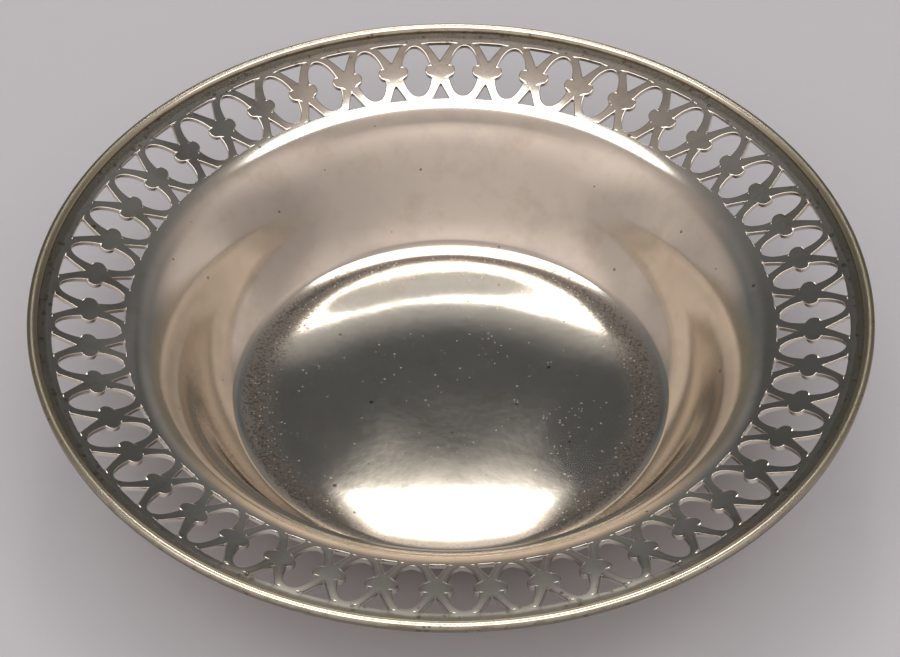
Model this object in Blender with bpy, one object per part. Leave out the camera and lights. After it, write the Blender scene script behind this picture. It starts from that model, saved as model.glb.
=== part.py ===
# Bonbon bowl: a dished silver bowl with a pierced border of ovals and knops.
# Metres, +Z up. The bowl stands on the plane z = 0 with its axis on the Z axis.
import math

import bmesh
import bpy
from mathutils import Matrix, Vector

# Driving dimensions: the whole bowl
RIM_DIAMETER = 0.152
OVERALL_HEIGHT = 0.030
SHEET = 0.0008

# Driving dimensions: the flange, from the rim inward
RIM_WIRE_WIDTH = 0.0015
RIM_WIRE_HEIGHT = 0.0005
SHEET_SETBACK = 0.0003
RIM_MARGIN = 0.0028
BORDER_WIDTH = 0.0129
SHOULDER_MARGIN = 0.0005
FLANGE_RIM_SLOPE = math.radians(10.5)
FLANGE_FOOT_SLOPE = math.radians(14.5)

# Driving dimensions: the wall and the well
SHOULDER_RADIUS = 0.0115
FILLET_RADIUS = 0.005
WELL_EDGE_RADIUS = 0.013
BEND_SLOPE = math.radians(40.0)
WALL_SLOPE = math.radians(61.0)
FILLET_SLOPE = math.radians(22.0)
WELL_EDGE_SLOPE = math.radians(8.0)
STRAIGHT_SHARE = 0.18
WELL_POWER = 4

# Driving dimensions: the pierced border
BORDER_REPEATS = 45
FIRST_KNOP_ANGLE = math.radians(3.8)
OVAL_WIDTH = 0.0055
OVAL_INSET = 0.00065
BAR_FOOT = 0.0025
KNOP_TOP = 0.0022
KNOP_BOTTOM = 0.0029
EAR_REACH = 0.0011
EAR_BASE = 0.0025
EAR_TIP = 0.0016
EAR_RISE = 0.0
CORNER_CUT = 0.0003

# Driving dimensions: the foot ring
FOOT_INSET = 0.0020
FOOT_WIDTH = 0.0016
FOOT_FLARE = 0.0009
FOOT_CLEARANCE = 0.0020

# The gap that soldered pieces keep
SEAT_GAP = 0.0003

# Mesh fineness
STEPS_PER_REPEAT = 2
ARCH_STEPS = 5
SHOULDER_STEPS = 2
BEND_STEPS = 2
FILLET_STEPS = 1
WELL_STEPS = 3
WIRE_ARC_STEPS = 6
FLARE_STEPS = 3
RING_STEPS = 100
WELD_DISTANCE = 0.00001
SHARP_ANGLE = math.radians(35.0)

# Derived radii of the flange
RIM_RADIUS = RIM_DIAMETER / 2
SHEET_EDGE = RIM_RADIUS - SHEET_SETBACK
BORDER_OUTER = RIM_RADIUS - RIM_WIRE_WIDTH - RIM_MARGIN
BORDER_INNER = BORDER_OUTER - BORDER_WIDTH
SHOULDER_START = BORDER_INNER - SHOULDER_MARGIN
KNOP_RADIUS = (BORDER_OUTER + BORDER_INNER) / 2
OVAL_HALF_WIDTH = OVAL_WIDTH / 2
OVAL_HALF_LENGTH = BORDER_WIDTH / 2 - OVAL_INSET
HALF_PITCH = math.pi / BORDER_REPEATS

# Derived curves of the sheet's upper face, seen in section
FLANGE_RADIUS = (SHEET_EDGE - SHOULDER_START) / (math.sin(FLANGE_FOOT_SLOPE) - math.sin(FLANGE_RIM_SLOPE))
WELL_BOTTOM = FOOT_CLEARANCE + SHEET


def above(slope):
    """Unit vector square to a surface that rises outward at this slope, in (radius, height)."""
    return Vector((-math.sin(slope), math.cos(slope)))


def along(slope):
    """Unit vector up a surface that rises outward at this slope, in (radius, height)."""
    return Vector((math.cos(slope), math.sin(slope)))


def flange_slope(radius):
    """Slope of the flange, an arch in section that gets flatter towards the rim."""
    rise = math.sin(FLANGE_RIM_SLOPE) + (SHEET_EDGE - radius) / FLANGE_RADIUS
    return math.asin(rise)


def flange_drop(radius):
    """Height of the flange's upper face below its outer edge."""
    return FLANGE_RADIUS * (math.cos(FLANGE_RIM_SLOPE) - math.cos(flange_slope(radius)))


# The wire lies on the flange, and its crown is the top of the bowl
WIRE_SLOPE = flange_slope(RIM_RADIUS - RIM_WIRE_WIDTH / 2)
WIRE_RADIUS = RIM_RADIUS - RIM_WIRE_WIDTH / 2 * math.cos(WIRE_SLOPE)
WIRE_CROWN = math.hypot(RIM_WIRE_HEIGHT * math.cos(WIRE_SLOPE), RIM_WIRE_WIDTH / 2 * math.sin(WIRE_SLOPE))
WIRE_SEAT = OVERALL_HEIGHT - WIRE_CROWN
FLANGE_TOP = WIRE_SEAT - SEAT_GAP * math.cos(WIRE_SLOPE) + flange_drop(WIRE_RADIUS)


def flange_height(radius):
    """Height of the flange's upper face."""
    return FLANGE_TOP - flange_drop(radius)


def arc_size(radius, first_slope, last_slope):
    """Width and height of an arc in section between two slopes."""
    width = radius * abs(math.sin(last_slope) - math.sin(first_slope))
    height = radius * abs(math.cos(last_slope) - math.cos(first_slope))
    return Vector((width, height))


# Sizes of the stretches between the flange and the well, and the wall for a bend radius of one
SHOULDER_SIZE = arc_size(SHOULDER_RADIUS, FLANGE_FOOT_SLOPE, BEND_SLOPE)
FILLET_SIZE = arc_size(FILLET_RADIUS, BEND_SLOPE, FILLET_SLOPE)
WELL_EDGE_SIZE = arc_size(WELL_EDGE_RADIUS, FILLET_SLOPE, WELL_EDGE_SLOPE)
FIXED_SIZE = SHOULDER_SIZE + FILLET_SIZE + WELL_EDGE_SIZE
UNIT_WALL = 2 * arc_size(1.0, BEND_SLOPE, WALL_SLOPE) + STRAIGHT_SHARE * along(WALL_SLOPE)

# The wall's bend radius follows from the height that is left between the shoulder and the well's bottom
SAG_SHARE = math.tan(WELL_EDGE_SLOPE) / WELL_POWER
ROOM_ACROSS = SHOULDER_START - FIXED_SIZE.x
ROOM_DOWN = flange_height(SHOULDER_START) - FIXED_SIZE.y - WELL_BOTTOM
BEND_RADIUS = (ROOM_DOWN - SAG_SHARE * ROOM_ACROSS) / (UNIT_WALL.y - SAG_SHARE * UNIT_WALL.x)
WELL_RADIUS = ROOM_ACROSS - BEND_RADIUS * UNIT_WALL.x
WELL_SAG = SAG_SHARE * WELL_RADIUS


def arc(start, radius, first_slope, last_slope, steps, crest):
    """Points of an arc in section after its start: crest is 1 for a rounded crest and -1 for a hollow."""
    center = start - above(first_slope) * radius * crest
    points = []
    for step in range(1, steps + 1):
        slope = first_slope + (last_slope - first_slope) * step / steps
        points.append(center + above(slope) * radius * crest)
    return points


def well_height(radius):
    """Height of the well's upper face: nearly flat in the middle and turned up towards its edge."""
    return WELL_BOTTOM + WELL_SAG * (radius / WELL_RADIUS) ** WELL_POWER


def well_profile():
    """Upper face in section from the foot of the flange down to the axis.

    The shoulder bends over into a wall that is straight in the middle and hollow below, a tight fillet
    and a wider one lead into the well, and a flat dish closes the bottom.
    """
    points = [Vector((SHOULDER_START, flange_height(SHOULDER_START)))]
    points += arc(points[-1], SHOULDER_RADIUS, FLANGE_FOOT_SLOPE, BEND_SLOPE, SHOULDER_STEPS, 1)
    points += arc(points[-1], BEND_RADIUS, BEND_SLOPE, WALL_SLOPE, BEND_STEPS, 1)
    points.append(points[-1] - along(WALL_SLOPE) * STRAIGHT_SHARE * BEND_RADIUS)
    points += arc(points[-1], BEND_RADIUS, WALL_SLOPE, BEND_SLOPE, BEND_STEPS, -1)
    points += arc(points[-1], FILLET_RADIUS, BEND_SLOPE, FILLET_SLOPE, FILLET_STEPS, -1)
    points += arc(points[-1], WELL_EDGE_RADIUS, FILLET_SLOPE, WELL_EDGE_SLOPE, FILLET_STEPS, -1)
    for step in range(1, WELL_STEPS + 1):
        radius = WELL_RADIUS * (1.0 - step / WELL_STEPS)
        points.append(Vector((radius, well_height(radius))))
    return points


def oval_side():
    """One side of an oval opening, from its outer end to its inner end.

    Points are (distance from the oval's long axis, distance outward from the knops' circle).
    The side is half an ellipse, broken at mid length by the ear of a knop.
    """
    ear_top = EAR_RISE + EAR_BASE / 2
    ear_bottom = EAR_RISE - EAR_BASE / 2
    first_turn = math.acos(ear_top / OVAL_HALF_LENGTH)
    second_turn = math.acos(ear_bottom / OVAL_HALF_LENGTH)
    ear_tip = OVAL_HALF_WIDTH - EAR_REACH
    points = []
    for step in range(ARCH_STEPS + 1):
        turn = first_turn * step / ARCH_STEPS
        points.append((OVAL_HALF_WIDTH * math.sin(turn), OVAL_HALF_LENGTH * math.cos(turn)))
    points.append((ear_tip, EAR_RISE + EAR_TIP / 2))
    points.append((ear_tip, EAR_RISE - EAR_TIP / 2))
    for step in range(ARCH_STEPS + 1):
        turn = second_turn + (math.pi - second_turn) * step / ARCH_STEPS
        points.append((OVAL_HALF_WIDTH * math.sin(turn), OVAL_HALF_LENGTH * math.cos(turn)))
    return points


def blunted(corners):
    """The outline with each corner cut short by CORNER_CUT."""
    points = []
    for index, corner in enumerate(corners):
        before = (corners[index - 1] - corner).normalized()
        after = (corners[(index + 1) % len(corners)] - corner).normalized()
        points.append(corner + before * CORNER_CUT)
        points.append(corner + after * CORNER_CUT)
    return points


def border_point(angle, radius):
    """A point of the flat pattern: arc length along the knops' circle, and radius."""
    return Vector((angle * KNOP_RADIUS, radius))


def spandrel(base_radius, apex_radius):
    """The three-cornered opening between two bars: its base lies along the border's edge line."""
    half_base = HALF_PITCH - BAR_FOOT / base_radius
    corners = [
        border_point(-half_base, base_radius),
        border_point(half_base, base_radius),
        border_point(0.0, apex_radius),
    ]
    return blunted(corners)


def repeat_outline():
    """Outline of one repeat: a knop with its four bars, half an oval cut away on each side."""
    right = []
    for offset, outward in oval_side():
        radius = KNOP_RADIUS + outward
        right.append(border_point(HALF_PITCH - offset / radius, radius))
    left = [Vector((-point.x, point.y)) for point in reversed(right)]
    edge = [border_point(HALF_PITCH * side, SHEET_EDGE) for side in (-1, 0, 1)]
    foot = [border_point(HALF_PITCH * side, SHOULDER_START) for side in (1, 0, -1)]
    return edge + right + foot + left


def add_loop(bm, points):
    """Adds a closed loop of edges in the flat pattern."""
    verts = [bm.verts.new((point.x, point.y, 0.0)) for point in points]
    return [bm.edges.new((verts[index - 1], verts[index])) for index in range(len(verts))]


def add_border(bm):
    """Fills one flat repeat of the border, bends it onto the flange and turns it round the axis."""
    edges = add_loop(bm, repeat_outline())
    edges += add_loop(bm, spandrel(BORDER_OUTER, KNOP_RADIUS + KNOP_TOP))
    edges += add_loop(bm, spandrel(BORDER_INNER, KNOP_RADIUS - KNOP_BOTTOM))
    bmesh.ops.triangle_fill(bm, edges=edges, use_beauty=True, normal=(0, 0, 1))
    for vert in bm.verts:
        angle = FIRST_KNOP_ANGLE + vert.co.x / KNOP_RADIUS
        radius = vert.co.y
        vert.co = (radius * math.cos(angle), radius * math.sin(angle), flange_height(radius))
    bmesh.ops.spin(
        bm,
        geom=bm.verts[:] + bm.edges[:] + bm.faces[:],
        axis=(0, 0, 1),
        angle=2 * HALF_PITCH * (BORDER_REPEATS - 1),
        steps=BORDER_REPEATS - 1,
        use_duplicate=True,
    )


def spin_section(bm, points, start_angle, steps, closed):
    """Turns a section, given as (radius, height) points, once round the axis."""
    turn = Matrix.Rotation(start_angle, 3, "Z")
    verts = [bm.verts.new(turn @ Vector((point[0], 0.0, point[1]))) for point in points]
    pairs = list(zip(verts, verts[1:]))
    if closed:
        pairs.append((verts[-1], verts[0]))
    edges = [bm.edges.new(pair) for pair in pairs]
    bmesh.ops.spin(bm, geom=verts + edges, axis=(0, 0, 1), angle=2 * math.pi, steps=steps)


def finish_object(bm, name, material):
    """Welds the mesh, points its faces outward and makes it a named object."""
    bmesh.ops.remove_doubles(bm, verts=bm.verts[:], dist=WELD_DISTANCE)
    bmesh.ops.recalc_face_normals(bm, faces=bm.faces[:])
    mesh = bpy.data.meshes.new(name)
    bm.to_mesh(mesh)
    bm.free()
    mesh.shade_smooth()
    mesh.set_sharp_from_angle(angle=SHARP_ANGLE)
    mesh.materials.append(material)
    part = bpy.data.objects.new(name, mesh)
    bpy.context.scene.collection.objects.link(part)
    return part


def silver(name, color, roughness):
    """Tarnished polished silver."""
    material = bpy.data.materials.new(name)
    material.use_nodes = True
    shader = material.node_tree.nodes["Principled BSDF"]
    shader.inputs["Base Color"].default_value = (*color, 1.0)
    shader.inputs["Metallic"].default_value = 1.0
    shader.inputs["Roughness"].default_value = roughness
    return material


def make_bowl():
    """One sheet: pierced flange, shoulder, wall and well, thickened downward."""
    bm = bmesh.new()
    add_border(bm)
    spin_section(bm, well_profile(), FIRST_KNOP_ANGLE, BORDER_REPEATS * STEPS_PER_REPEAT, False)
    part = finish_object(bm, "bowl", silver("bowl_silver", (0.80, 0.74, 0.67), 0.16))
    up = sum(polygon.normal.z for polygon in part.data.polygons)
    if up < 0.0:
        part.data.flip_normals()
    thicken = part.modifiers.new("sheet", "SOLIDIFY")
    thicken.thickness = SHEET
    thicken.offset = -1.0
    thicken.use_even_offset = True
    return part


def make_rim_wire():
    """A half-round wire soldered flat side down round the edge of the flange."""
    center = Vector((WIRE_RADIUS, WIRE_SEAT))
    points = []
    for step in range(WIRE_ARC_STEPS + 1):
        turn = math.pi * step / WIRE_ARC_STEPS
        reach = along(WIRE_SLOPE) * RIM_WIRE_WIDTH / 2 * math.cos(turn)
        rise = above(WIRE_SLOPE) * RIM_WIRE_HEIGHT * math.sin(turn)
        points.append(center + reach + rise)
    bm = bmesh.new()
    spin_section(bm, points, 0.0, RING_STEPS, True)
    return finish_object(bm, "rim_wire", silver("rim_wire_silver", (0.78, 0.70, 0.58), 0.2))


def well_underside(radius):
    """Height of the sheet's lower face under the well."""
    slope = math.atan(math.tan(WELL_EDGE_SLOPE) * (radius / WELL_RADIUS) ** (WELL_POWER - 1))
    return well_height(radius) - SHEET / math.cos(slope)


def make_foot_ring():
    """A low flared ring under the well, which the bowl stands on."""
    neck_outer = WELL_RADIUS - FOOT_INSET
    neck_inner = neck_outer - FOOT_WIDTH
    neck_top = well_underside(neck_outer) - SEAT_GAP
    points = [Vector((neck_inner, 0.0)), Vector((neck_inner, well_underside(neck_inner) - SEAT_GAP))]
    for step in range(FLARE_STEPS + 1):
        down = step / FLARE_STEPS
        points.append(Vector((neck_outer + FOOT_FLARE * down ** 2, neck_top * (1.0 - down))))
    bm = bmesh.new()
    spin_section(bm, points, 0.0, RING_STEPS, True)
    return finish_object(bm, "foot_ring", silver("foot_ring_silver", (0.74, 0.67, 0.58), 0.25))


def main():
    for old in list(bpy.data.objects):
        bpy.data.objects.remove(old, do_unlink=True)
    make_bowl()
    make_rim_wire()
    make_foot_ring()


main()
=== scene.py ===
# %% [markdown]
# # A pierced silver bonbon bowl
#
# This lesson gives a small silver bowl its looks. Its solids come from model.glb as a fixed frame, and
# every piece made here takes the place of one of them. The bowl has three pieces: the bowl itself, raised
# from one sheet and pierced round its flange, a half-round wire soldered on the edge, and a low ring to
# stand on. Work in the frame's own coordinates: metres, +Z up, the axis on Z and the table at z = 0.

# %% Load the frame
import math

import bmesh
import bpy
import numpy as np
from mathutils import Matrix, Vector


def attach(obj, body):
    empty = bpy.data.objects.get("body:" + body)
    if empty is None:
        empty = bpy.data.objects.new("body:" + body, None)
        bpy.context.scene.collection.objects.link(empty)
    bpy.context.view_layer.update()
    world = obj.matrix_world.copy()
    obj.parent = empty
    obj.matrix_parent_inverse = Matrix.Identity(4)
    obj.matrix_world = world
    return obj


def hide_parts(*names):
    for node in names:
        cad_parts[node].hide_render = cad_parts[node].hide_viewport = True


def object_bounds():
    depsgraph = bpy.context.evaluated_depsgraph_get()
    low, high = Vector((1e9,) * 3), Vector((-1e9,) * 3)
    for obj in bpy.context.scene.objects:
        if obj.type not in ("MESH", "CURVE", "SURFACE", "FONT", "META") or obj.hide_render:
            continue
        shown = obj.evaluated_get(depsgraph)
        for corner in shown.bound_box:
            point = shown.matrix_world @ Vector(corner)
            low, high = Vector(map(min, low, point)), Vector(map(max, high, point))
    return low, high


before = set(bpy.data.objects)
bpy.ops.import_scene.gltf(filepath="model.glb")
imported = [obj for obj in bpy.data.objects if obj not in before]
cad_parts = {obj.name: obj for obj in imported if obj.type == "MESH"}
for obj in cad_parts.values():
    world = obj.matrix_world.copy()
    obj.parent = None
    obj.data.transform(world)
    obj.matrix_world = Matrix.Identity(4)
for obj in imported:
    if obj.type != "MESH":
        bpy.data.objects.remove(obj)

cad_box = [list(corner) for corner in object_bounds()]
print("nodes:", sorted(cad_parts), "box:", np.round(cad_box, 4).tolist())

# %% [markdown]
# ## The camera
#
# A camera can be placed by eye, or from the picture itself. Here the ellipse of the rim and the even
# spacing of the border fix it: a long lens, looking down at about 45 degrees from eight rim radii away.
# The aim is a little below the rim's centre, so the framing needs no lens shift.

# %% Camera
MM = 0.001
RIM_RADIUS = cad_box[1][0]
RIM_TOP = cad_box[1][2]
# The rim's outline is seen a little below the wire's crown
RIM_SIGHT_HEIGHT = RIM_TOP - 0.65 * MM
CAMERA_ELEVATION = math.radians(45.32)
CAMERA_DISTANCE = 7.98 * RIM_RADIUS
CAMERA_AIM_DROP = math.radians(0.464)
CAMERA_ASIDE = -0.15 * MM
CAMERA_LENS_MM = 134.84
SENSOR_WIDTH_MM = 36.0


def make_camera():
    """Camera on the -Y side, turned about X so that it looks down, a little below the rim's centre."""
    data = bpy.data.cameras.new("camera")
    data.lens = CAMERA_LENS_MM
    data.sensor_width = SENSOR_WIDTH_MM
    camera = bpy.data.objects.new("camera", data)
    back = CAMERA_DISTANCE * math.cos(CAMERA_ELEVATION)
    rise = CAMERA_DISTANCE * math.sin(CAMERA_ELEVATION)
    camera.location = (CAMERA_ASIDE, -back, RIM_SIGHT_HEIGHT + rise)
    camera.rotation_euler = (math.pi / 2 - CAMERA_ELEVATION - CAMERA_AIM_DROP, 0.0, 0.0)
    bpy.context.scene.collection.objects.link(camera)
    bpy.context.scene.camera = camera
    return camera


camera = make_camera()
print("camera at", [round(value, 4) for value in camera.location])

# %% [markdown]
# ## The section of the sheet
#
# A raised bowl is round, so one section says nearly everything: where a point of the sheet lies, and
# which way it faces. The flange is a shallow arch that gets flatter towards the rim. Inside it come a
# rounded shoulder, a wall that bends, runs straight and bends back, a small hollow fillet and the edge of
# the well, which is a very shallow dish. A smooth curve through a few points would be quicker to draw,
# but polished metal shows each wave in it. So each stretch is an arc or a line, and slopes match where
# they meet. The slope is kept with every point, because the thickness is measured square to the surface.

# %% Flange
SHEET = 0.8 * MM
SOLDER_SEAM = 0.3 * MM
WIRE_WIDTH = 1.9 * MM
WIRE_HEIGHT = 0.5 * MM
SHEET_SETBACK = 0.3 * MM
RIM_MARGIN = 2.4 * MM
BORDER_WIDTH = 12.9 * MM
SHOULDER_MARGIN = 0.5 * MM
RIM_SLOPE = math.radians(10.5)
FLANGE_FOOT_SLOPE = math.radians(14.5)

SHEET_EDGE = RIM_RADIUS - SHEET_SETBACK
BORDER_OUTER = RIM_RADIUS - WIRE_WIDTH - RIM_MARGIN
BORDER_INNER = BORDER_OUTER - BORDER_WIDTH
FLANGE_FOOT = BORDER_INNER - SHOULDER_MARGIN
FLANGE_CURVE = (SHEET_EDGE - FLANGE_FOOT) / (math.sin(FLANGE_FOOT_SLOPE) - math.sin(RIM_SLOPE))


def flange_slope(radius):
    """Slope at a radius: its sine grows evenly from the rim inward, which makes an arc in section."""
    return np.arcsin(math.sin(RIM_SLOPE) + (SHEET_EDGE - radius) / FLANGE_CURVE)


def flange_drop(radius):
    """How far the upper face lies below the sheet's edge: the arc's radius times the change in cosine."""
    return FLANGE_CURVE * (math.cos(RIM_SLOPE) - np.cos(flange_slope(radius)))


WIRE_SLOPE = float(flange_slope(RIM_RADIUS - WIRE_WIDTH / 2))
WIRE_RADIUS = RIM_RADIUS - WIRE_WIDTH / 2 * math.cos(WIRE_SLOPE)
# Rise of a tilted half ellipse over its seat: the root of the squares of what its two half sizes rise
WIRE_CROWN = math.hypot(WIRE_HEIGHT * math.cos(WIRE_SLOPE), WIRE_WIDTH / 2 * math.sin(WIRE_SLOPE))
WIRE_SEAT = RIM_TOP - WIRE_CROWN
FLANGE_TOP = WIRE_SEAT - SOLDER_SEAM * math.cos(WIRE_SLOPE) + float(flange_drop(WIRE_RADIUS))


def flange_height(radius):
    """Height of the flange's upper face."""
    return FLANGE_TOP - flange_drop(radius)


print("flange from", round(SHEET_EDGE / MM, 2), "to", round(FLANGE_FOOT / MM, 2), "mm")

# %% Shoulder, wall, fillet and well
SHOULDER_CURVE = 11.2 * MM
BEND_CURVE = 24.4 * MM
FILLET_CURVE = 4.0 * MM
WELL_EDGE_CURVE = 12.0 * MM
STRAIGHT = 4.4 * MM
BEND_SLOPE = math.radians(40.0)
WALL_SLOPE = math.radians(61.0)
FILLET_SLOPE = math.radians(22.0)
WELL_EDGE_SLOPE = math.radians(8.0)
WELL_POWER = 4
WELL_ROUNDNESS = 0.2
# Stretches from the flange's foot down to the well: length, and slope at the lower end
STRETCHES = [
    (SHOULDER_CURVE * (BEND_SLOPE - FLANGE_FOOT_SLOPE), BEND_SLOPE),
    (BEND_CURVE * (WALL_SLOPE - BEND_SLOPE), WALL_SLOPE),
    (STRAIGHT, WALL_SLOPE),
    (BEND_CURVE * (WALL_SLOPE - BEND_SLOPE), BEND_SLOPE),
    (FILLET_CURVE * (BEND_SLOPE - FILLET_SLOPE), FILLET_SLOPE),
    (WELL_EDGE_CURVE * (FILLET_SLOPE - WELL_EDGE_SLOPE), WELL_EDGE_SLOPE),
]


def wall_rows(counts):
    """Rows (radius, height, slope) down the stretches, each cut into its own number of steps.

    The slope turns evenly along a stretch, so each step is an arc. Its chord lies at the mean slope, and is
    the arc's length times the sine of half the turn over half the turn.
    """
    ends = [FLANGE_FOOT_SLOPE] + [slope for length, slope in STRETCHES]
    turns = [np.full(count, (ends[i + 1] - ends[i]) / count) for i, count in enumerate(counts)]
    turn = np.concatenate(turns)
    length = np.repeat([stretch[0] / count for stretch, count in zip(STRETCHES, counts)], counts)
    slope = FLANGE_FOOT_SLOPE + np.concatenate([[0.0], np.cumsum(turn)])
    middle = (slope[:-1] + slope[1:]) / 2
    chord = length * np.sinc(turn / 2 / math.pi)
    radius = FLANGE_FOOT - np.concatenate([[0.0], np.cumsum(chord * np.cos(middle))])
    height = flange_height(FLANGE_FOOT) - np.concatenate([[0.0], np.cumsum(chord * np.sin(middle))])
    return np.stack([radius, height, slope])


WELL_RADIUS, WELL_EDGE_HEIGHT = wall_rows([1] * len(STRETCHES))[:2, -1]
WELL_RISE = math.tan(WELL_EDGE_SLOPE) * WELL_RADIUS


def well_sag(share):
    """Rise of the well from its middle to a share of its radius: part square, the rest the fourth power."""
    flat_part = (1.0 - WELL_ROUNDNESS) * share ** WELL_POWER / WELL_POWER
    return WELL_RISE * (WELL_ROUNDNESS * share ** 2 / 2 + flat_part)


WELL_BOTTOM = WELL_EDGE_HEIGHT - well_sag(1.0)


def well_height(radius):
    """Height of the well's upper face: nearly flat in the middle, and rising faster towards its edge."""
    return WELL_BOTTOM + well_sag(radius / WELL_RADIUS)


def well_slope(radius):
    """Slope of the well's upper face, from the derivative of its height."""
    share = radius / WELL_RADIUS
    steepness = WELL_ROUNDNESS * share + (1.0 - WELL_ROUNDNESS) * share ** (WELL_POWER - 1)
    return np.arctan(math.tan(WELL_EDGE_SLOPE) * steepness)


def inside_rows(arc_steps, well_steps):
    """Rows of the whole upper face inside the flange, as far as the axis."""
    radius = WELL_RADIUS * (1.0 - np.linspace(0.0, 1.0, well_steps + 1)[1:])
    well = np.stack([radius, well_height(radius), well_slope(radius)])
    return np.concatenate([wall_rows(arc_steps), well], axis=1)


print("well radius", round(WELL_RADIUS / MM, 2), "edge at", round(WELL_EDGE_HEIGHT / MM, 2),
      "middle at", round(WELL_BOTTOM / MM, 2), "mm")

# %% [markdown]
# ## The pierced border
#
# This is the piece of skill on the bowl. A silversmith drills each opening and saws it out, leaving knops
# with small ears, joined to the rim and to the shoulder by pairs of curved bars. Cutting holes with
# Booleans would leave long thin triangles that spoil a mirror finish. Instead the metal between the
# openings is laid out as grids: one ring of spokes runs from each oval's edge to the openings around it,
# and two margins finish the flange. Only half of one oval's surroundings is worked out. It is mirrored,
# then turned to all the ovals. Points of this flat layout are complex numbers: the length along the
# knops' circle, and the radius times i.

# %% Sizes of the border
REPEATS = 45
HALF_PITCH = math.pi / REPEATS
FIRST_KNOP = math.radians(3.8)
KNOP_CIRCLE = (BORDER_OUTER + BORDER_INNER) / 2
KNOP_AXIS = HALF_PITCH * KNOP_CIRCLE
OVAL_HALF_WIDTH = 2.75 * MM
OVAL_END_BAR = 0.65 * MM
OVAL_HALF_LENGTH = BORDER_WIDTH / 2 - OVAL_END_BAR
# How far the bars' feet lie from the oval's axis, and the knops' ends from the knops' circle
BAR_FOOT = 2.5 * MM
KNOP_TOP = 2.2 * MM
KNOP_BOTTOM = 2.9 * MM
EAR_REACH = 1.1 * MM
EAR_BASE = 2.7 * MM
EAR_POWER = 0.6
CORNER_ROUND = 0.2 * MM
print(REPEATS, "repeats, each", round(2 * KNOP_AXIS / MM, 2), "mm wide at the knops")

# %% Curves of the border
# Steps along the curves: margin, corner, side, ear, half base
MARGIN_STEPS = 4
CORNER_STEPS = 2
SIDE_STEPS = 8
EAR_STEPS = 16
BASE_STEPS = 2


def unit(step):
    """Direction of a flat step, as a complex number of length one."""
    return step / np.abs(step)


def line(start, end, steps):
    """Evenly spaced points on a straight line."""
    return start + (end - start) * np.linspace(0.0, 1.0, steps + 1)


def half_corner(corner, before, after):
    """Half of a rounded corner, from its middle to the side that leads to after.

    The round's centre lies on the bisector, its radius over the sine of half the corner's angle away.
    """
    to_before = unit(before - corner)
    to_after = unit(after - corner)
    half_angle = abs(np.angle(to_after / to_before)) / 2
    bisector = unit(to_before + to_after)
    center = corner + bisector * CORNER_ROUND / math.sin(half_angle)
    tangent = corner + to_after * CORNER_ROUND / math.tan(half_angle)
    reach = line(-bisector * CORNER_ROUND, tangent - center, CORNER_STEPS)
    return center + CORNER_ROUND * unit(reach)


def spandrel_half(base_radius, apex_radius):
    """Outline of half a three-cornered opening: its side, and its base as far as the knop's axis."""
    foot = BAR_FOOT * KNOP_CIRCLE / base_radius
    corner = complex(foot, base_radius)
    far_corner = complex(2 * KNOP_AXIS - foot, base_radius)
    apex = complex(KNOP_AXIS, apex_radius)
    foot_arc = half_corner(corner, far_corner, apex)
    apex_arc = half_corner(apex, far_corner, corner)
    base_arc = half_corner(corner, apex, far_corner)
    side = np.concatenate([foot_arc, line(foot_arc[-1], apex_arc[-1], SIDE_STEPS)[1:-1], apex_arc[::-1]])
    base = np.concatenate([base_arc, line(base_arc[-1], complex(KNOP_AXIS, base_radius), BASE_STEPS)[1:]])
    return side, base


def ear(outward):
    """Reach of a knop's ear into the oval: a rounded lobe, by distance from the knops' circle."""
    share = np.clip(1.0 - (outward / (EAR_BASE / 2)) ** 2, 0.0, 1.0)
    return EAR_REACH * share ** EAR_POWER


def oval_half(turns):
    """Side of an oval: half an ellipse, less the ear, at these turns from its outer end."""
    outward = OVAL_HALF_LENGTH * np.cos(turns)
    offset = OVAL_HALF_WIDTH * np.sin(turns) - ear(outward)
    radius = KNOP_CIRCLE + outward
    return offset * KNOP_CIRCLE / radius + 1j * radius


def crowded(start, end, steps):
    """Numbers from start to end that crowd towards both ends, as half a turn's cosines do."""
    return start + (end - start) * (1.0 - np.cos(np.linspace(0.0, math.pi, steps + 1))) / 2


def joined(*stretches):
    """One curve from stretches that share their end points."""
    return np.concatenate([stretches[0]] + [stretch[1:] for stretch in stretches[1:]])


print("an ear reaches", round(float(ear(0.0)) / MM, 2), "mm into its oval")

# %% Half a repeat: curves
# Turn of an oval's edge that faces the margin beyond its end
CAP_TURN = math.radians(28.0)
upper_side, upper_base = spandrel_half(BORDER_OUTER, KNOP_CIRCLE + KNOP_TOP)
lower_side, lower_base = spandrel_half(BORDER_INNER, KNOP_CIRCLE - KNOP_BOTTOM)
upper_margin = line(complex(0.0, BORDER_OUTER), upper_side[0], MARGIN_STEPS)
lower_margin = line(complex(0.0, BORDER_INNER), lower_side[0], MARGIN_STEPS)
knop_line = line(upper_side[-1], lower_side[-1], EAR_STEPS)
around = joined(upper_margin, upper_side, knop_line, lower_side[::-1], lower_margin[::-1])

ear_start = math.acos(EAR_BASE / 2 / OVAL_HALF_LENGTH)
ear_end = math.pi - ear_start
stops = [0.0, CAP_TURN, ear_start, ear_end, math.pi - CAP_TURN, math.pi]
counts = [MARGIN_STEPS, len(upper_side) - 1, EAR_STEPS, len(lower_side) - 1, MARGIN_STEPS]
spacings = [line, line, crowded, line, line]
turns = joined(*[spacings[i](stops[i], stops[i + 1], counts[i]) for i in range(len(counts))])
oval = oval_half(turns)
narrowest = np.abs(around - oval).min()
print("spokes in half a repeat:", len(oval), "narrowest bar", round(narrowest / MM, 2), "mm")

# %% Edges of the openings
OUTLINES = [oval, upper_side, upper_base, lower_side, lower_base]
OUTLINE_DIVISIONS = 8
EDGE_ROUND = 0.1 * MM
WEAR_REACH = 3 * EDGE_ROUND
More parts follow.
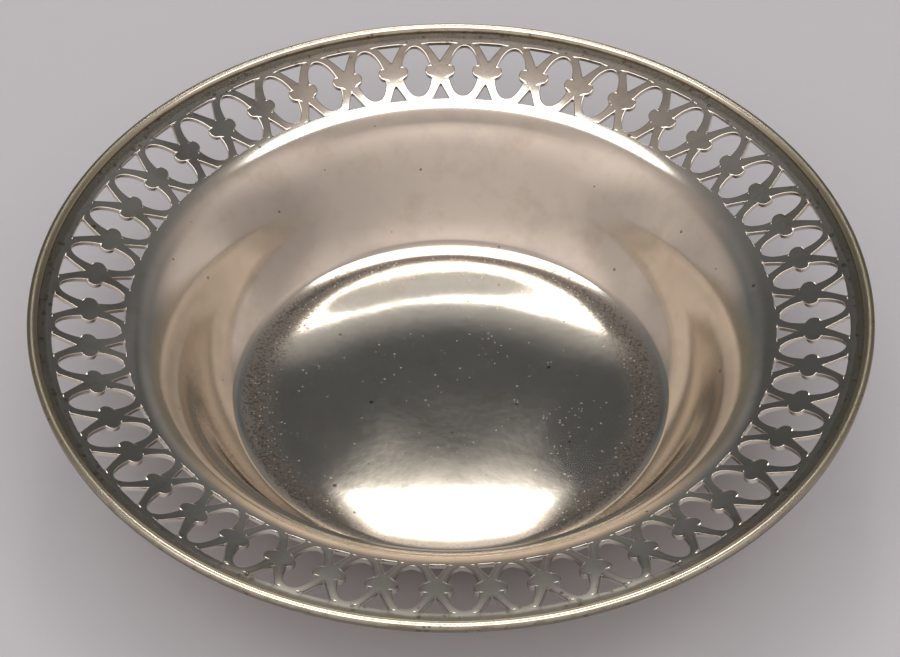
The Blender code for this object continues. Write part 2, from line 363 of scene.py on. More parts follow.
# Rows beside an edge, in shares of its round: its foot, its middle, its end, and one more to hold the flat
EDGE_SUPPORT = 1.8
EDGE_ROWS = [0.0, 1.0 - math.sqrt(0.5), 1.0, EDGE_SUPPORT]
LEAST_SINE = 0.25
LARGEST_SHARE = 0.4


def finer(curve):
    """The same curve with more points between its own."""
    places = np.linspace(0.0, len(curve) - 1.0, (len(curve) - 1) * OUTLINE_DIVISIONS + 1)
    return np.interp(places, np.arange(len(curve)), curve)


outline_points = np.concatenate([finer(curve) for curve in OUTLINES])


def edge_distance(points):
    """Distance of each flat point from the nearest opening's outline."""
    return np.abs(points[..., None] - outline_points).min(axis=-1)


def rounded_depth(points):
    """Depth that the rounded edges of the openings take off: a quarter circle beside each outline."""
    inward = np.clip(EDGE_ROUND - edge_distance(points), 0.0, None)
    return EDGE_ROUND - np.sqrt(EDGE_ROUND ** 2 - inward ** 2)


def edge_rows(curve, spoke):
    """Shares of the spokes at which the rows beside an edge lie.

    They are the rows' distances over the spoke's length, and over the sine of the angle at which it leaves.
    """
    along = unit(np.gradient(curve))
    sine = np.abs((unit(spoke) / along).imag)
    support = EDGE_ROUND * EDGE_SUPPORT / np.clip(sine, LEAST_SINE, 1.0) / np.abs(spoke)
    return np.array(EDGE_ROWS)[:, None] / EDGE_SUPPORT * np.minimum(support, LARGEST_SHARE)


print("points on the outlines:", len(outline_points))


# %% Half a repeat: grids
def spokes(start, end, at_end):
    """Grid of points between two curves, with rows close to the first edge and, if at_end, to the last."""
    spoke = end - start
    near = edge_rows(start, spoke)
    far = 1.0 - edge_rows(end, spoke)[::-1] if at_end else np.ones((1, len(spoke)))
    share = np.concatenate([near, (near[-1:] + far[:1]) / 2, far])
    return start + spoke * share


def sheet_patch(points, depth):
    """A patch of the flange: angle, radius, height, slope, depth below the upper face, and edge wear."""
    radius = points.imag
    wear = np.exp(-edge_distance(points) / WEAR_REACH)
    return points.real / KNOP_CIRCLE, radius, flange_height(radius), flange_slope(radius), depth, wear


def wall_patch(curve):
    """The sawn wall of an opening, from the foot of its rounded edge to the lower face."""
    points = np.stack([curve, curve])
    depth = np.stack([rounded_depth(curve), np.full(len(curve), SHEET)])
    return sheet_patch(points, depth)


outer_edge = np.concatenate([upper_margin, upper_base[1:]])
inner_edge = np.concatenate([lower_margin, lower_base[1:]])
rim_curve = outer_edge.real + 1j * SHEET_EDGE
foot_curve = inner_edge.real + 1j * FLANGE_FOOT
strips = [(oval, around, True), (outer_edge, rim_curve, False), (inner_edge, foot_curve, False)]
top_grids = [spokes(*strip) for strip in strips]
lower_grids = [np.stack([start, end]) for start, end, at_end in strips]
patches = [sheet_patch(grid, rounded_depth(grid)) for grid in top_grids]
patches += [sheet_patch(grid, np.full(grid.shape, SHEET)) for grid in lower_grids]
patches += [wall_patch(curve) for curve in OUTLINES + [rim_curve]]
print("patches in half a repeat:", len(patches))

# %% [markdown]
# ## From grids to a bowl
#
# A grid becomes a mesh once its points are numbered. A loop could add each repeat in turn, but numpy's
# broadcasting turns every patch to all the ovals at once. The well is added with the same columns as the
# border, and one weld joins everything into a single closed sheet. Mirroring turns a half inside out, so
# the normals are recalculated after that, and all faces point out of the metal.

# %% Grids round the axis
CELL_ANGLES = FIRST_KNOP + HALF_PITCH + 2 * HALF_PITCH * np.arange(REPEATS)


def lay(angle, radius, height, slope, depth):
    """Place of a sheet point: down by depth square to the upper face, then round the axis by angle."""
    reach = radius + depth * np.sin(slope)
    drop = depth * np.cos(slope)
    places = [reach * np.cos(angle), reach * np.sin(angle), height - drop]
    return np.stack(np.broadcast_arrays(*places), axis=-1)


def grid_quads(row_count, column_count, copies):
    """Four corners of each cell of a grid of points, for that many grids in a row."""
    corner = np.arange(row_count * column_count).reshape(row_count, column_count)
    corners = [corner[:-1, :-1], corner[:-1, 1:], corner[1:, 1:], corner[1:, :-1]]
    cells = np.stack(corners, axis=-1).reshape(-1, 4)
    starts = np.arange(copies) * row_count * column_count
    return (cells + starts[:, None, None]).reshape(-1, 4)


def turned(patch):
    """All copies of a half repeat's patch: both sides of every oval."""
    angle, radius, height, slope, depth, wear = np.broadcast_arrays(*patch)
    side = np.array([1.0, -1.0])[:, None, None]
    angles = CELL_ANGLES[:, None, None, None] + side * angle
    points = lay(angles, radius, height, slope, depth)
    wears = np.broadcast_to(wear, angles.shape)
    quads = grid_quads(*angle.shape, 2 * REPEATS)
    return points.reshape(-1, 3), quads, wears.ravel()


def stacked(parts):
    """Points, quads and wear of several grids as one list each."""
    starts = np.cumsum([0] + [len(part[0]) for part in parts[:-1]])
    points = np.concatenate([part[0] for part in parts])
    quads = np.concatenate([part[1] + start for part, start in zip(parts, starts)])
    wear = np.concatenate([part[2] for part in parts])
    return points, quads, wear


print("copies of each patch:", 2 * len(CELL_ANGLES))

# %% The bowl
WELD = 0.001 * MM
SHARP = math.radians(60.0)
# Steps down each stretch of the section, and across the well
UPPER_STEPS = [7, 5, 1, 5, 6, 6]
UPPER_WELL_STEPS = 14
LOWER_STEPS = [2, 2, 1, 2, 2, 1]
LOWER_WELL_STEPS = 3


def make_piece(name, points, quads, wear):
    """Puts the arrays into a mesh, welds its seams, points its faces outward and smooths its shading."""
    mesh = bpy.data.meshes.new(name)
    mesh.vertices.add(len(points))
    mesh.vertices.foreach_set("co", points.astype(np.float32).ravel())
    mesh.loops.add(quads.size)
    mesh.loops.foreach_set("vertex_index", quads.astype(np.int32).ravel())
    mesh.polygons.add(len(quads))
    mesh.polygons.foreach_set("loop_start", np.arange(0, quads.size, 4, dtype=np.int32))
    mesh.update(calc_edges=True)
    mesh.attributes.new("wear", "FLOAT", "POINT").data.foreach_set("value", wear.astype(np.float32))
    welded = bmesh.new()
    welded.from_mesh(mesh)
    bmesh.ops.remove_doubles(welded, verts=welded.verts[:], dist=WELD)
    bmesh.ops.recalc_face_normals(welded, faces=welded.faces[:])
    welded.to_mesh(mesh)
    volume = welded.calc_volume(signed=True)
    welded.free()
    mesh.shade_smooth()
    mesh.set_sharp_from_angle(angle=SHARP)
    piece = bpy.data.objects.new(name, mesh)
    bpy.context.scene.collection.objects.link(piece)
    edges = np.zeros(len(mesh.loops), dtype=np.int32)
    mesh.loops.foreach_get("edge_index", edges)
    open_edges = np.count_nonzero(np.bincount(edges) != 2)
    triangles = len(mesh.loops) - 2 * len(mesh.polygons)
    print(name, "triangles", triangles, "open edges", open_edges, "volume", round(volume / MM ** 3), "mm3")
    return piece


def well_patch(rows, depth):
    """The turned part of the sheet, with the border's own columns."""
    angle = foot_curve.real[None, :] / KNOP_CIRCLE
    radius, height, slope = rows[:, :, None]
    return angle, radius, height, slope, depth, np.zeros((1, 1))


upper_rows = inside_rows(UPPER_STEPS, UPPER_WELL_STEPS)
lower_rows = inside_rows(LOWER_STEPS, LOWER_WELL_STEPS)
bowl_patches = patches + [well_patch(upper_rows, 0.0), well_patch(lower_rows, SHEET)]
pierced_bowl = make_piece("pierced_bowl", *stacked([turned(patch) for patch in bowl_patches]))
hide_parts("bowl")
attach(pierced_bowl, "root")

# %% [markdown]
# ## The rim wire
#
# A sheet's edge is weak and sharp, so half-round wire is soldered flat side down along it. A curve object
# with a bevel could follow the rim, but the wire's flat has to lie on the sloping flange. So its section
# is written in the flange's own directions and turned round the axis. The flat reaches down through the
# solder to the sheet.

# %% Rim wire
WIRE_ARC_STEPS = 20
RIM_COLUMNS = 360
# Where the wire's feet stand on the sheet, in shares of its half width: inside and outside
WIRE_FEET = [[-0.97], [0.9]]


def turned_section(name, section, wear):
    """A closed section of (radius, height) points, carried once round the axis."""
    closed = np.concatenate([section, section[:1]])
    worn = np.concatenate([wear, wear[:1]])
    angle = np.linspace(0.0, 2 * math.pi, RIM_COLUMNS + 1)[None, :]
    radius, height = closed.T[:, :, None]
    points = lay(angle, radius, height, 0.0, 0.0)
    wears = np.broadcast_to(worn[:, None], points.shape[:2])
    return make_piece(name, points.reshape(-1, 3), grid_quads(*points.shape[:2], 1), wears.ravel())


def wire_section():
    """Half an ellipse standing on the flange, with its two corners brought down to the sheet."""
    turn = np.linspace(0.0, math.pi, WIRE_ARC_STEPS + 1)[:, None]
    across = np.array([math.cos(WIRE_SLOPE), math.sin(WIRE_SLOPE)]) * WIRE_WIDTH / 2
    up = np.array([-math.sin(WIRE_SLOPE), math.cos(WIRE_SLOPE)])
    seat = np.array([WIRE_RADIUS, WIRE_SEAT])
    crown = seat + across * np.cos(turn) + up * WIRE_HEIGHT * np.sin(turn)
    feet = seat - up * SOLDER_SEAM + across * np.array(WIRE_FEET)
    wear = np.concatenate([np.sin(turn[:, 0]) ** 2, np.zeros(2)])
    return np.concatenate([crown, feet]), wear


rim_wire_piece = turned_section("half_round_wire", *wire_section())
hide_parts("rim_wire")
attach(rim_wire_piece, "root")

# %% [markdown]
# ## The foot ring
#
# The well is dished, so the bowl would rock without a foot. A strip bent into a ring, splayed a little at
# the bottom and soldered under the well, is how such bowls stand level. A scaled cylinder could stand for
# it, but a section turned like the wire's also gives it a small solder fillet at the top and worn,
# rounded lower edges.

# %% Foot ring
FOOT_INSET = 2.0 * MM
FOOT_WIDTH = 1.6 * MM
FOOT_FLARE = 0.9 * MM
SOLDER_FILLET = 0.5 * MM
FOOT_ROUND = 0.2 * MM
FOOT_WEAR_HEIGHT = 1.0 * MM
FILLET_STEPS = 5
FLARE_STEPS = 9
ROUND_STEPS = 4


def well_underside(radius):
    """Height of the lower face under the well: a sheet's thickness lower, measured square to it."""
    return well_height(radius) - SHEET / np.cos(well_slope(radius))


def foot_section():
    """Foot's section: quarter circle of solder, flare by the square of the depth, rounded lower edges."""
    neck_outer = WELL_RADIUS - FOOT_INSET
    neck_inner = neck_outer - FOOT_WIDTH
    turn = np.linspace(0.0, math.pi / 2, FILLET_STEPS + 1)
    top = well_underside(neck_outer + SOLDER_FILLET)
    fillet_radius = neck_outer + SOLDER_FILLET * (1.0 - np.sin(turn))
    fillet_height = top - SOLDER_FILLET * (1.0 - np.cos(turn))
    share = np.linspace(0.0, 1.0, FLARE_STEPS + 1)[1:]
    start = fillet_height[-1]
    flare_radius = neck_outer + FOOT_FLARE * share ** 2
    flare_height = start - (start - FOOT_ROUND) * share
    edge_turn = np.linspace(0.0, math.pi / 2, ROUND_STEPS + 1)[1:]
    outer_radius = flare_radius[-1] - FOOT_ROUND * (1.0 - np.cos(edge_turn))
    round_height = FOOT_ROUND * (1.0 - np.sin(edge_turn))
    inner_radius = neck_inner + FOOT_ROUND * (1.0 - np.cos(edge_turn))
    inner_side = np.array([neck_inner, neck_inner])
    inner_height = np.array([FOOT_ROUND, well_underside(neck_inner)])
    radius = np.concatenate([fillet_radius, flare_radius, outer_radius, inner_radius[::-1], inner_side])
    height = np.concatenate([fillet_height, flare_height, round_height, round_height[::-1], inner_height])
    wear = np.clip(1.0 - height / FOOT_WEAR_HEIGHT, 0.0, 1.0)
    return np.stack([radius, height], axis=1), wear


foot_piece = turned_section("splayed_foot", *foot_section())
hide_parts("foot_ring")
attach(foot_piece, "root")

# %% [markdown]
# ## The studio
#
# Polished silver has no looks of its own: what it shows is the room. A picture of a room could be wrapped
# round the bowl, but then nothing in it could be moved. Here the room is laid out with nodes, by
# direction. Two angles name a direction: the turn, from the back horizon over the zenith to the front
# horizon, and the lean to the side. Four colour ramps give the brightness along the turn, from the middle
# to full side, and each gives way to the next as the lean grows. A window and a card are added to them,
# which are the two bright shapes in the well. Dim places are a little cool, and lit ones warm.

# %% Node helpers
def connect(tree, value, socket):
    """Links another node's output to a socket, or sets the socket's constant."""
    if isinstance(value, bpy.types.NodeSocket):
        tree.links.new(value, socket)
    else:
        socket.default_value = value


def add_node(tree, kind, inputs=None, **settings):
    """Adds a node with these settings and inputs, given by name or by place."""
    node = tree.nodes.new(kind)
    for label, value in settings.items():
        setattr(node, label, value)
    for place, value in (inputs or {}).items():
        connect(tree, value, node.inputs[place])
    return node


def calculate(tree, operation, first, second=0.0, third=0.0):
    """Output of a Math node."""
    inputs = {0: first, 1: second, 2: third}
    return add_node(tree, "ShaderNodeMath", inputs, operation=operation).outputs[0]


def product(tree, first, second):
    """Output of one value times another."""
    return calculate(tree, "MULTIPLY", first, second)


def blend_add(tree, value, factor, extra):
    """Output of value times factor plus extra."""
    return calculate(tree, "MULTIPLY_ADD", value, factor, extra)


def smooth_step(tree, value, low, high):
    """Output of a smooth rise from 0 at low to 1 at high."""
    inputs = {"Value": value, "From Min": low, "From Max": high}
    return add_node(tree, "ShaderNodeMapRange", inputs, interpolation_type="SMOOTHSTEP").outputs[0]


def falling(tree, value, low, high):
    """Output of a smooth fall from 1 at low to 0 at high."""
    return calculate(tree, "SUBTRACT", 1.0, smooth_step(tree, value, low, high))


def mix_color(tree, factor, first, second, blend="MIX"):
    """Output of a Mix node, whose colours are its inputs 6 and 7 and its output 2."""
    inputs = {0: factor, 6: first, 7: second}
    return add_node(tree, "ShaderNodeMix", inputs, data_type="RGBA", blend_type=blend).outputs[2]


def color_ramp(tree, share, stops):
    """Output of a colour ramp through (place, colour) stops."""
    node = add_node(tree, "ShaderNodeValToRGB", {0: share})
    elements = node.color_ramp.elements
    while len(elements) < len(stops):
        elements.new(1.0)
    for element, (place, color) in zip(elements, stops):
        element.position = place
        element.color = color
    return node.outputs[0]


# %% Room by direction
# Brightness by turn in degrees: wall at the back, dark ceiling, lit ceiling, wall behind the viewer
MIDDLE = {
    0: 0.89, 10: 0.78, 21: 0.24, 27: 0.16,
    33: 0.085, 42: 0.095, 48.3: 0.095, 52: 0.15,
    60: 0.26, 64: 0.38, 66.5: 0.52, 85: 0.86, 96: 0.64, 115: 0.48,
    127: 0.95, 141: 0.68, 180: 0.56,
}
NEAR_SIDE = {
    0: 0.18, 14: 0.19, 21: 0.24, 27: 0.20,
    33: 0.09, 45: 0.105, 55: 0.175,
    75: 0.345, 95: 0.535, 112: 0.525,
    125: 0.87, 145: 0.64, 180: 0.55,
}
FAR_SIDE = {
    0: 0.23, 25: 0.155,
    55: 0.24,
    75: 0.46, 95: 0.77, 110: 0.82,
    125: 0.74, 145: 0.575, 180: 0.535,
}
# The side walls, which are lightest towards the back
FULL_SIDE = {0: 0.30, 12: 0.34, 30: 0.54, 85: 0.50, 180: 0.40}
# Each side ramp with the leans over which it takes over, and its shift in turn for each degree of lean
SIDE_RAMPS = [(NEAR_SIDE, (5.0, 19.0), 0.0), (FAR_SIDE, (20.0, 38.0), 0.1), (FULL_SIDE, (42.0, 62.0), 0.0)]
HALF_CIRCLE = 180.0


def turn_ramp(tree, turn, levels):
    """Brightness along the turn, given at some degrees and straight between them."""
    stops = [(degrees / HALF_CIRCLE, (level, level, level, 1.0)) for degrees, level in levels.items()]
    return color_ramp(tree, calculate(tree, "DIVIDE", turn, HALF_CIRCLE), stops)


def room_ramps(tree, turn, lean):
    """Brightness of the bare room: the middle ramp, which gives way to each side ramp as the lean grows."""
    aside = calculate(tree, "ABSOLUTE", lean)
    room = turn_ramp(tree, turn, MIDDLE)
    for levels, leans, shift in SIDE_RAMPS:
        side = turn_ramp(tree, blend_add(tree, lean, shift, turn), levels)
        room = mix_color(tree, smooth_step(tree, aside, *leans), room, side)
    return room


print("room in the middle: from", min(MIDDLE.values()), "to", max(MIDDLE.values()))

# %% Window and front card
# Ovals in degrees, as (turn, lean): the window's pane, a dull place in it, and two places on the ceiling
PANE = {"middle": (52.7, 0.0), "half": (7.2, 5.95), "soft": 0.12}
DULL = {"middle": (55.25, 0.9), "half": (2.5, 4.2), "soft": 0.2, "tilt": 0.15}
DARK_CORNER = {"middle": (61.0, 10.5), "half": (4.5, 4.5), "soft": 0.6}
LIGHT_PATCH = {"middle": (40.0, 18.0), "half": (5.0, 7.0), "soft": 0.7}
# Strips in degrees, by where each soft edge starts and ends: a ledge under the window, and the front card
SILL = (51.85, 52.75)
LEDGE = {"back": (48.6, 51.8), "front": (51.8, 53.0), "sides": (5.0, 9.0), "taper": 0.0}
CARD_CORE = {"back": (34.3, 36.4), "front": (43.6, 44.4), "sides": (2.0, 3.0), "taper": 1.3}
CARD_GLOW = {"back": (24.0, 36.0), "front": (43.8, 47.4), "sides": (2.6, 3.9), "taper": 1.7}
CARD_RADIANCE = 5.0
GLOW_RADIANCE = 1.2
LEDGE_RADIANCE = 0.38
DULL_SHARE = 0.9


def spot(tree, turn, lean, middle, half, soft, tilt=0.0):
    """Mask of an oval: the squares of the shares of its two half sizes add up to less than one."""
    level = blend_add(tree, lean, tilt, turn)
    upward = blend_add(tree, level, 1.0 / half[0], -middle[0] / half[0])
    aside = blend_add(tree, lean, 1.0 / half[1], -middle[1] / half[1])
    distance = blend_add(tree, upward, upward, product(tree, aside, aside))
    return falling(tree, distance, 1.0 - soft, 1.0 + soft)


def strip(tree, turn, lean, back, front, sides, taper):
    """Mask of a strip: its front edge draws back by the taper times the distance aside."""
    aside = calculate(tree, "ABSOLUTE", lean)
    front_edge = falling(tree, blend_add(tree, aside, taper, turn), *front)
    length = product(tree, smooth_step(tree, turn, *back), front_edge)
    return product(tree, length, falling(tree, aside, *sides))


def window_light(tree, turn, lean):
    """Light of the window: an oval above its sill with a dull place in it, and a faint ledge below."""
    pane = product(tree, spot(tree, turn, lean, **PANE), smooth_step(tree, turn, *SILL))
    dull = spot(tree, turn, lean, **DULL)
    bright = product(tree, pane, blend_add(tree, dull, -DULL_SHARE * CARD_RADIANCE, CARD_RADIANCE))
    return blend_add(tree, strip(tree, turn, lean, **LEDGE), LEDGE_RADIANCE, bright)


def front_card_light(tree, turn, lean):
    """Light of the front card: a white core, and a glow round it that narrows faster."""
    glow = product(tree, strip(tree, turn, lean, **CARD_GLOW), GLOW_RADIANCE)
    return blend_add(tree, strip(tree, turn, lean, **CARD_CORE), CARD_RADIANCE, glow)


print("window", 2 * PANE["half"][1], "degrees wide, front card", 2 * CARD_CORE["sides"][1], "degrees")

# %% World
BLACK = (0.0, 0.0, 0.0, 1.0)
WHITE = (1.0, 1.0, 1.0, 1.0)
COOL_SHADE = (0.92, 0.965, 1.015, 1.0)
WARM_LIGHT = (1.0, 0.88, 0.845, 1.0)
CARD_TINT = (1.0, 0.95, 0.91, 1.0)
BACK_TINT = (1.0, 0.91, 0.74, 1.0)
BACK_TINT_TURNS = (8.0, 26.0)
WARM_LEVELS = (0.1, 0.38)
WARM_LEANS = (40.0, 60.0)
CORNER_SHARE = 0.45
PATCH_SHARE = 0.06
# Share of the brightness that a degree of lean to the right adds, at the back and at the front
BACK_GAIN = 0.002
FRONT_GAIN = -0.0025
GAIN_TURNS = (50.0, 95.0)


def room_tint(tree, room, turn, lean):
    """The room in colour: cool where dim, warm where lit or far aside, and golden low at the back."""
    far_aside = smooth_step(tree, calculate(tree, "ABSOLUTE", lean), *WARM_LEANS)
    warmth = calculate(tree, "MAXIMUM", smooth_step(tree, room, *WARM_LEVELS), far_aside)
    room = mix_color(tree, 1.0, room, mix_color(tree, warmth, COOL_SHADE, WARM_LIGHT), "MULTIPLY")
    return mix_color(tree, falling(tree, turn, *BACK_TINT_TURNS), room, BACK_TINT, "MULTIPLY")


def make_world():
    """World whose colour depends on the direction only: the tinted room plus its window and card."""
    world = bpy.data.worlds.new("studio")
    world.use_nodes = True
    tree = world.node_tree
    direction = add_node(tree, "ShaderNodeTexCoord").outputs["Generated"]
    axes = add_node(tree, "ShaderNodeSeparateXYZ", {0: direction}).outputs
    turn = calculate(tree, "DEGREES", calculate(tree, "ARCTAN2", axes[2], axes[1]))
    lean = calculate(tree, "DEGREES", calculate(tree, "ARCSINE", axes[0]))
    room = room_ramps(tree, turn, lean)
    for oval_place, share, shade in [(DARK_CORNER, CORNER_SHARE, BLACK), (LIGHT_PATCH, PATCH_SHARE, WHITE)]:
        room = mix_color(tree, product(tree, spot(tree, turn, lean, **oval_place), share), room, shade)
    gain = blend_add(tree, smooth_step(tree, turn, *GAIN_TURNS), FRONT_GAIN - BACK_GAIN, BACK_GAIN)
    room = mix_color(tree, 1.0, room, blend_add(tree, lean, gain, 1.0), "MULTIPLY")
    room = room_tint(tree, room, turn, lean)
    cards = calculate(tree, "ADD", window_light(tree, turn, lean), front_card_light(tree, turn, lean))
    room = mix_color(tree, 1.0, room, mix_color(tree, 1.0, cards, CARD_TINT, "MULTIPLY"), "ADD")
    connect(tree, room, tree.nodes["Background"].inputs["Color"])
    return world


bpy.context.scene.world = make_world()
bpy.context.scene.view_settings.view_transform = "Standard"
print("room has", len(bpy.context.scene.world.node_tree.nodes), "nodes")

# %% [markdown]
# ## The lamps
#
# A world can light a whole scene, but its shadows are vague. A wide area lamp hangs over the bowl, a
# little to the back, for the soft shadow under it and for the white bands at the back of the shoulder and
# of the well's edge. A second lamp fills that shadow. It lights the floor but stays out of the silver's
# reflections, where the room already is.

# %% Lamps
KEY_TURN = math.radians(76.1)
KEY_HALF_WIDTH = math.radians(24.0)
KEY_HALF_LENGTH = math.radians(9.2)
KEY_DISTANCE = 2.0
KEY_ASIDE = -0.065
KEY_RADIANCE = 2.8
FILL_TURN = math.radians(104.0)
FILL_HALF = math.radians(40.0)
FILL_DISTANCE = 2.5
FILL_RADIANCE = 0.75


def make_lamp(name, turn, distance, aside, half_width, half_length, radiance):
    """Oval lamp over the bowl, turned about X to face it. Its half sizes are angles seen from the bowl.

    Its power is the radiance times pi times its area, which is a quarter of pi times its two sizes.
    """
    data = bpy.data.lights.new(name, "AREA")
    data.shape = "ELLIPSE"
    data.size = 2 * distance * math.tan(half_width)
    data.size_y = 2 * distance * math.tan(half_length)
    data.energy = radiance * math.pi * math.pi / 4 * data.size * data.size_y
    lamp = bpy.data.objects.new(name, data)
    lamp.location = (aside, distance * math.cos(turn), distance * math.sin(turn))
    lamp.rotation_euler = (turn - math.pi / 2, 0.0, 0.0)
    lamp.visible_camera = False
    bpy.context.scene.collection.objects.link(lamp)
    print(name, round(data.size, 2), "by", round(data.size_y, 2), "m,", round(data.energy, 1), "W")
    return lamp


make_lamp("key_lamp", KEY_TURN, KEY_DISTANCE, KEY_ASIDE, KEY_HALF_WIDTH, KEY_HALF_LENGTH, KEY_RADIANCE)
fill_lamp = make_lamp("fill_lamp", FILL_TURN, FILL_DISTANCE, 0.0, FILL_HALF, FILL_HALF, FILL_RADIANCE)
fill_lamp.visible_glossy = False

# %% [markdown]
# ## Tarnish, specks and scratches
#
# Old silver is never evenly clean. Polishing leaves hair-fine scratches, the corners that a cloth can't
# reach stay brown, and small dark spots come back first. Painted images could show all that, but only in
# one place and size. The pieces share these effects, so each one is a node group with named sockets,
# built once and placed in every material with its own values. They read Object coordinates, which are the
# bowl's own metres, so a ring of tarnish can simply be asked for at a radius.

# %% Node groups: rings and tarnish
VALUE = "NodeSocketFloat"
VECTOR = "NodeSocketVector"
COLOR = "NodeSocketColor"
FLAT = (1.0, 1.0, 0.0)
RAGGED_SCALE = 220.0
BROWN_STAIN = (0.46, 0.34, 0.22, 1.0)
OLIVE_STAIN = (0.45, 0.42, 0.30, 1.0)
LILAC_STAIN = (0.50, 0.46, 0.48, 1.0)
STAIN_STOPS = [(0.36, BROWN_STAIN), (0.5, OLIVE_STAIN), (0.64, LILAC_STAIN)]
STAIN_DRIFT = 0.7
# Noise levels at which a cloud starts with no cover, how much full cover lowers that, and its soft edge
CLOUD_START = 0.72
CLOUD_COVER = -0.4
CLOUD_EDGE = 0.2


def start_group(name, inputs, outputs):
    """An empty shader node group: the group, its inputs to read and its outputs to fill."""
    group = bpy.data.node_groups.new(name, "ShaderNodeTree")
    for label, kind in inputs.items():
        group.interface.new_socket(label, in_out="INPUT", socket_type=kind)
    for label, kind in outputs.items():
        group.interface.new_socket(label, in_out="OUTPUT", socket_type=kind)
    return group, group.nodes.new("NodeGroupInput").outputs, group.nodes.new("NodeGroupOutput").inputs


def noise(tree, place, scale, detail=2.0, roughness=0.5):
    """Output of a Noise texture, a value that varies round one half."""
    inputs = {"Vector": place, "Scale": scale, "Detail": detail, "Roughness": roughness}
    return add_node(tree, "ShaderNodeTexNoise", inputs).outputs[0]


def stretched(tree, place, factors):
    """Output of a place times a factor along each axis."""
    return add_node(tree, "ShaderNodeVectorMath", {0: place, 1: factors}, operation="MULTIPLY").outputs[0]


def from_axis(tree, place):
    """Distance of a place from the bowl's axis: the length of what is left without its height."""
    flat = stretched(tree, place, FLAT)
    return add_node(tree, "ShaderNodeVectorMath", {0: flat}, operation="LENGTH").outputs["Value"]


def ring_zone_group():
    """A ragged ring round the axis: full within its half width, and gone past its softness."""
    inputs = {"Place": VECTOR, "Radius": VALUE, "Half Width": VALUE, "Softness": VALUE, "Waver": VALUE}
    group, given, made = start_group("ring_zone", inputs, {"Mask": VALUE})
    shift = calculate(group, "SUBTRACT", noise(group, given["Place"], RAGGED_SCALE, 4.0, 0.6), 0.5)
    ragged = blend_add(group, shift, given["Waver"], from_axis(group, given["Place"]))
    away = calculate(group, "ABSOLUTE", calculate(group, "SUBTRACT", ragged, given["Radius"]))
    limit = calculate(group, "ADD", given["Half Width"], given["Softness"])
    connect(group, falling(group, away, given["Half Width"], limit), made["Mask"])
    return group


def tarnish_group():
    """Clouds of thin tarnish: a mask, and a colour that wanders between brown, olive and lilac grey."""
    inputs = {"Place": VECTOR, "Scale": VALUE, "Cover": VALUE}
    group, given, made = start_group("tarnish_film", inputs, {"Mask": VALUE, "Stain": COLOR})
    clouds = noise(group, given["Place"], given["Scale"], 5.0, 0.65)
    low = blend_add(group, given["Cover"], CLOUD_COVER, CLOUD_START)
    high = calculate(group, "ADD", low, CLOUD_EDGE)
    connect(group, smooth_step(group, clouds, low, high), made["Mask"])
    drift = noise(group, given["Place"], product(group, given["Scale"], STAIN_DRIFT))
    connect(group, color_ramp(group, drift, STAIN_STOPS), made["Stain"])
    return group


groups = {group.name: group for group in (ring_zone_group(), tarnish_group())}
print("node groups:", sorted(groups))

# %% Node groups: specks and scratches
SCRATCH_TURNS = (15.0, 57.0, 101.0, 148.0)
SCRATCH_STRETCH = (1.0, 18.0, 18.0)
# Noise levels at which a thread starts with no share, how much a full share lowers that, and its soft edge
THREAD_START = 0.86
THREAD_SHARE = -0.4
THREAD_EDGE = 0.1


def speck_group():
    """Small round spots: in a share of a Voronoi texture's cells, within a size round the cell's point."""
    inputs = {"Place": VECTOR, "Scale": VALUE, "Size": VALUE, "Share": VALUE}
    group, given, made = start_group("specks", inputs, {"Mask": VALUE})
    cells = add_node(group, "ShaderNodeTexVoronoi", {"Vector": given["Place"], "Scale": given["Scale"]})
    chance = add_node(group, "ShaderNodeSeparateColor", {0: cells.outputs["Color"]}).outputs
    size = product(group, given["Size"], chance["Green"])
    near = calculate(group, "LESS_THAN", cells.outputs["Distance"], size)
    chosen = calculate(group, "LESS_THAN", chance["Red"], given["Share"])
    connect(group, product(group, near, chosen), made["Mask"])
    return group


def scratch_group():
    """Hair-fine scratches: noise drawn out into threads along four directions, kept where it is high."""
    inputs = {"Place": VECTOR, "Scale": VALUE, "Share": VALUE}
    group, given, made = start_group("fine_scratches", inputs, {"Mask": VALUE})
    threads = 0.0
    for degrees in SCRATCH_TURNS:
        inputs = {"Vector": given["Place"], "Angle": math.radians(degrees)}
        turned_place = add_node(group, "ShaderNodeVectorRotate", inputs, rotation_type="Z_AXIS").outputs[0]
        layer = noise(group, stretched(group, turned_place, SCRATCH_STRETCH), given["Scale"], 1.0)
        threads = calculate(group, "MAXIMUM", layer, threads)
    low = blend_add(group, given["Share"], THREAD_SHARE, THREAD_START)
    high = calculate(group, "ADD", low, THREAD_EDGE)
    connect(group, smooth_step(group, threads, low, high), made["Mask"])
    return group


groups.update({group.name: group for group in (speck_group(), scratch_group())})
print("node groups:", sorted(groups))

# %% [markdown]
# ## The silver of the bowl
#
# Polished silver is a metal with a warm white tint, so the Principled shader gets a Metallic near 1 and a
# low Roughness. On the tint lie, from wide to small: a thin film of tarnish in clouds, a brown ragged
# ring where the well turns up into the wall, a dark band of tarnish and painted shade in the corner beside
# the wire, painted shade that dulls the edges of the openings at the front, a fine mottle, brown and black
# spots, and specks of dust. Layers of separate shaders could be mixed, but then the export could not read
# them, so each layer is a mask that mixes colours and adds to the roughness. Scratches roughen the metal
# in threads, which gives a bright patch its soft halo. A very low bump with broad waves stands for hammer
# work that was smoothed but never quite lost.

# %% Zones of the bowl
ZONE_EDGE = 2.0 * MM
RING = {"Radius": 36.8 * MM, "Half Width": 1.0 * MM, "Softness": 5.0 * MM, "Waver": 3.0 * MM}
RING_END = (38.0 * MM, 39.4 * MM)
